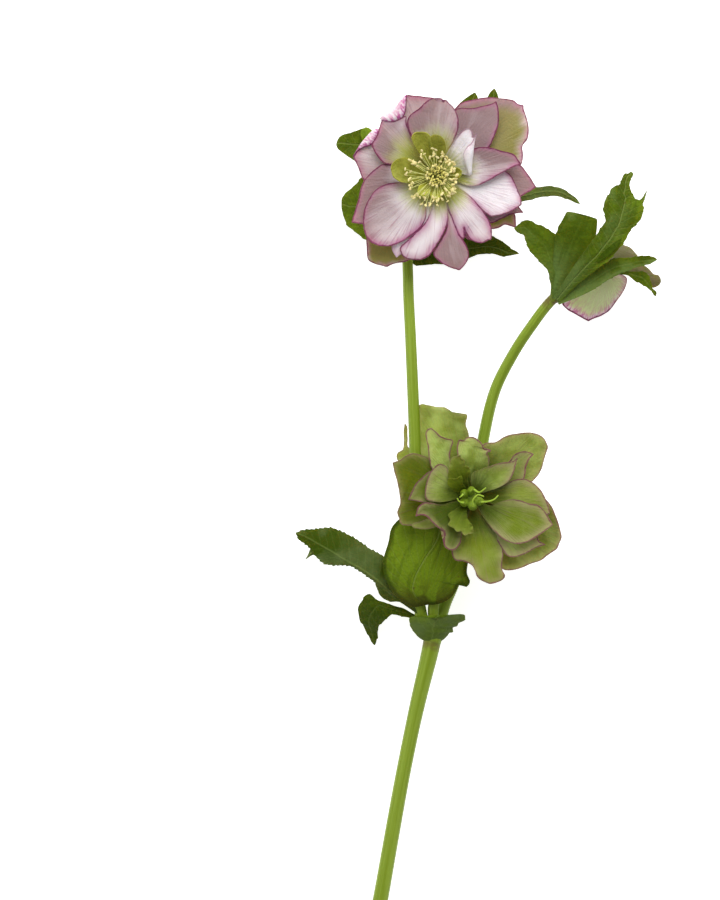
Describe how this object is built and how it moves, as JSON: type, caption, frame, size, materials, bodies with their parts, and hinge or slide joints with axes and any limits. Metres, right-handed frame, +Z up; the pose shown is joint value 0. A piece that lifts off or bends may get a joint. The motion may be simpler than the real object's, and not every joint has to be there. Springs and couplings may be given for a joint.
{
  "type": "hellebore flower",
  "caption": "Cut stem of a double hellebore lying on its side, with an open pink bloom, an aged green bloom, a nodding bloom, toothed leaves and bracts.",
  "frame": {"origin": "on the surface the stem lies on, under the middle of the part's bounding box", "axes": "+Z up from the surface, +Y from the cut end of the stalk towards the open pink bloom, +X to the side of the nodding bloom"},
  "size_m": [0.1465, 0.3324, 0.0424],
  "materials": {
    "stem_green": "fresh yellow-green stalk with fine lengthwise ribs, satin",
    "leaf_green": "dark green leaf with pale veins, grey-green underneath, slightly waxy",
    "petal_pink": "soft white-pink petal with fine mauve veins, a plum edge and a lime base, matt",
    "nectary_lime": "lime green nectary, satin",
    "anther_cream": "cream anther on a pale green filament, powdery",
    "petal_green": "aged apple green petal with a mauve tinge and a thin purple edge, matt",
    "pod_green": "bright green seed pod with a hooked style, satin"
  },
  "bodies": {
    "root": {"stem": "stem_green", "leaf_left": "leaf_green", "leaf_back": "leaf_green", "leaf_hanging": "leaf_green", "leaf_collar": "leaf_green", "leaf_round": "leaf_green", "bracts_open_left": "leaf_green", "bracts_open_right": "leaf_green", "bracts_open_top": "leaf_green", "bracts_nodding_left": "leaf_green", "bract_nodding_long": "leaf_green", "bracts_nodding_low": "leaf_green", "petals_open": "petal_pink", "nectaries_open": "nectary_lime", "stamens_open": "anther_cream", "petals_green": "petal_green", "carpels_green": "pod_green", "petals_nodding": "petal_pink", "stamens_nodding": "anther_cream"}
  },
  "joints": []
}
